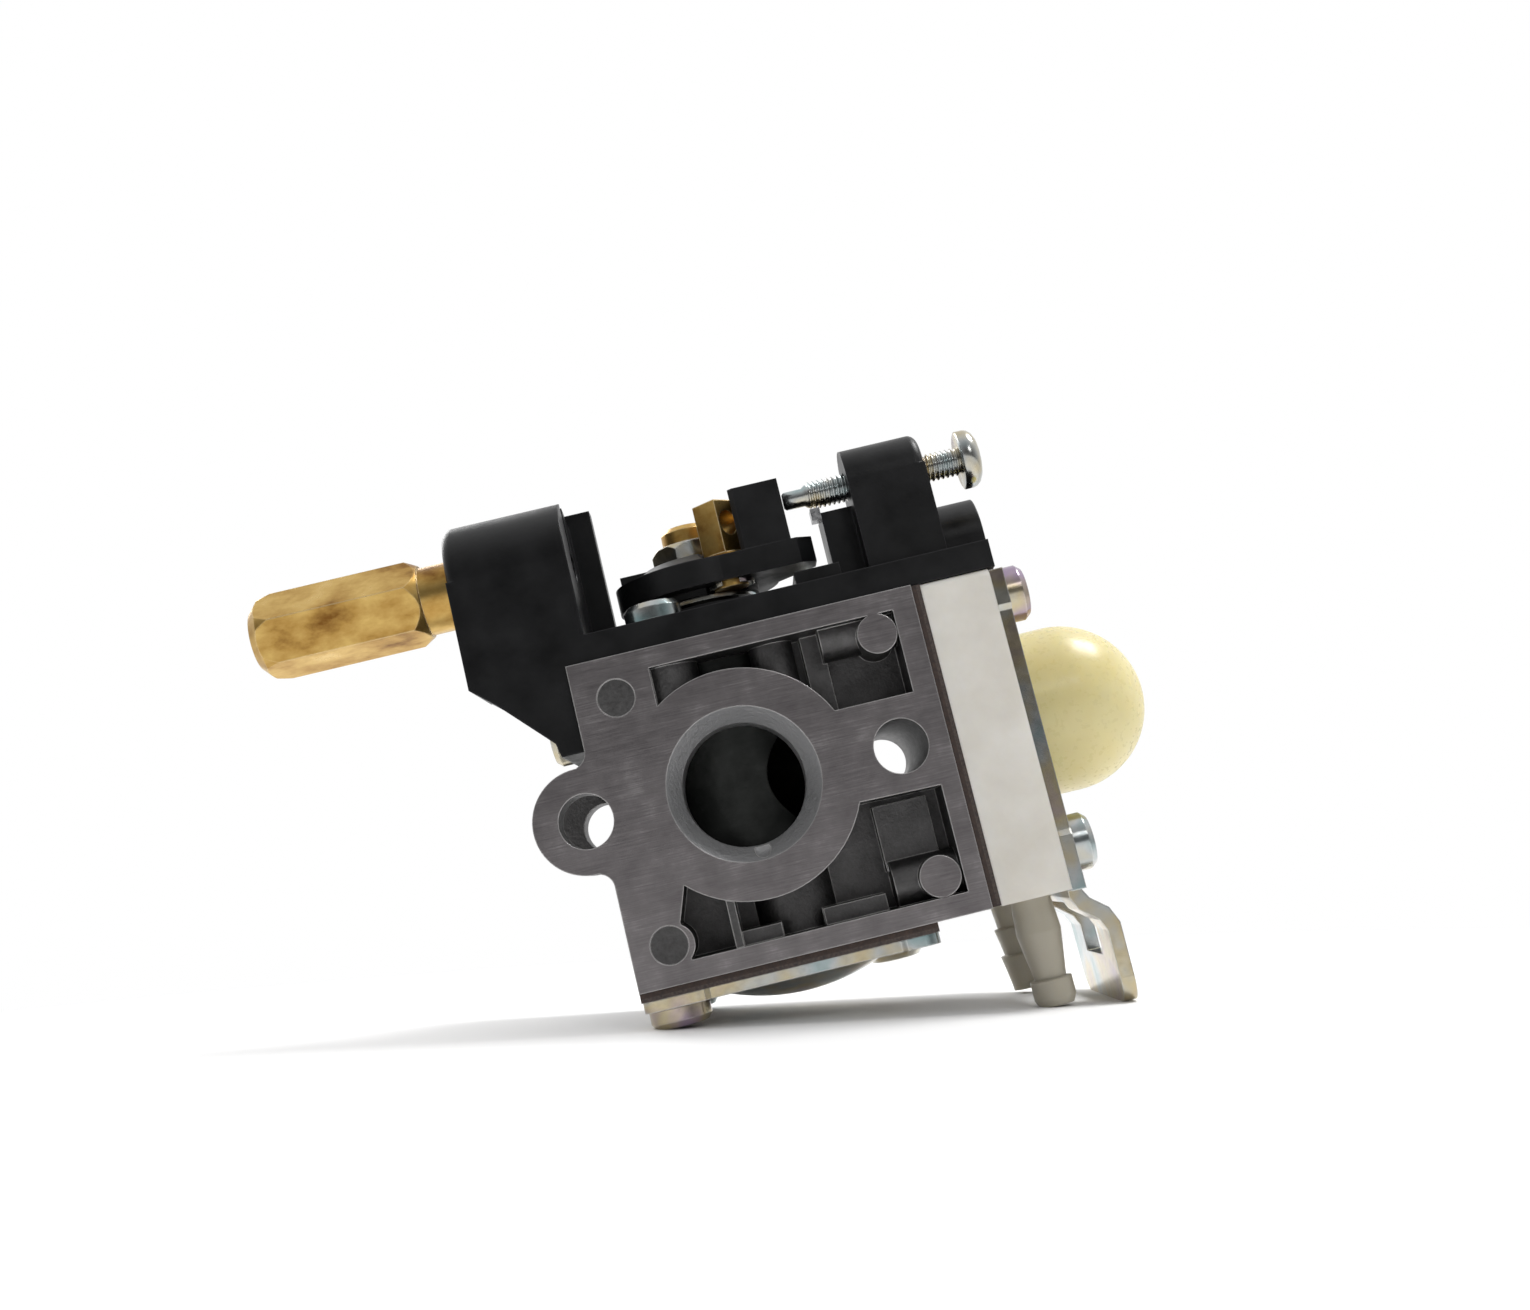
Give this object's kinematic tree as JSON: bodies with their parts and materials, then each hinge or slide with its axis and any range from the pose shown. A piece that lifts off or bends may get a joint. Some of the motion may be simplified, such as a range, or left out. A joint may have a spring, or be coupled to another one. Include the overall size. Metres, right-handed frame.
{
  "type": "diaphragm carburetor",
  "caption": "Rotary-barrel diaphragm carburetor with cable adjuster, idle screw, primer bulb, metering cover and barbed hose fittings.",
  "frame": {"origin": "centre of the air passage on the engine flange face", "axes": "+X towards the primer bulb, +Y from the engine flange to the air cleaner flange, +Z along the throttle barrel towards the lever"},
  "size_m": [0.087, 0.026, 0.0614],
  "materials": {
    "cast_aluminium": "die cast, flange faces machined",
    "barrel_aluminium": "turned",
    "black_plastic": "moulded, glass-filled",
    "ivory_plastic": "moulded, slightly translucent",
    "zinc_steel": "zinc plated",
    "spring_steel": "drawn wire",
    "brass": "turned, slightly tarnished",
    "gasket": "fibre gasket",
    "film": "coated fabric film",
    "black_rubber": "moulded",
    "bulb_rubber": "clear, yellowish"
  },
  "bodies": {
    "housing": {"carburetor_body": "cast_aluminium", "throttle_bracket": "black_plastic", "return_spring": "spring_steel", "idle_screw_clip": "spring_steel", "bracket_screws": "zinc_steel", "side_screw": "zinc_steel", "pump_gasket": "gasket", "pump_diaphragm": "film", "primer_base": "ivory_plastic", "inlet_screen": "spring_steel", "purge_valve": "black_rubber", "bulb_retainer": "zinc_steel", "retainer_screws": "zinc_steel", "metering_gasket": "gasket", "metering_diaphragm": "film", "diaphragm_button": "barrel_aluminium", "metering_cover": "zinc_steel", "cover_screws": "zinc_steel", "metering_lever_pin": "spring_steel", "metering_spring": "spring_steel", "main_jet": "brass", "welch_plug": "barrel_aluminium"},
    "throttle": {"throttle_barrel": "barrel_aluminium", "throttle_lever": "black_plastic", "lever_nut": "zinc_steel", "needle_screw": "brass", "thrust_washer": "zinc_steel"},
    "swivel": {"cable_swivel": "brass", "swivel_clip": "zinc_steel"},
    "adjuster": {"cable_adjuster": "brass"},
    "idle": {"idle_screw": "zinc_steel"},
    "bulb": {"primer_bulb": "bulb_rubber"},
    "fuel_lever": {"metering_lever": "zinc_steel", "inlet_needle": "brass"}
  },
  "joints": [
    {"name": "throttle_turn", "type": "hinge", "parent": "housing", "child": "throttle", "pos_m": [0, 0.013, 0], "axis": [0, 0, 1], "range_deg": [-66, 0], "stiffness_Nm_per_rad": 0.01, "springref_deg": 34.38},
    {"name": "swivel_turn", "type": "hinge", "parent": "throttle", "child": "swivel", "pos_m": [0.0034, 0.0074, 0], "axis": [0, 0, 1], "range_deg": [-60, 70]},
    {"name": "adjuster_turn", "type": "hinge", "parent": "housing", "child": "adjuster", "pos_m": [0, 0.0074, 0.0259], "axis": [1, 0, 0], "range_deg": [-1080, 1080]},
    {"name": "idle_turn", "type": "hinge", "parent": "housing", "child": "idle", "pos_m": [0, 0.007, 0.0274], "axis": [1, 0, 0], "range_deg": [-1080, 1080]},
    {"name": "bulb_press", "type": "slide", "parent": "housing", "child": "bulb", "axis": [-1, 0, 0], "range_m": [0, 0.005], "stiffness_N_per_m": 300, "deforming": ["primer_bulb"]},
    {"name": "fuel_lever_turn", "type": "hinge", "parent": "housing", "child": "fuel_lever", "pos_m": [0.0016, 0.0154, -0.0157], "axis": [0, 1, 0], "range_deg": [0, 4], "stiffness_Nm_per_rad": 0.0005, "springref_deg": -11.46, "deforming": ["metering_spring"]}
  ]
}
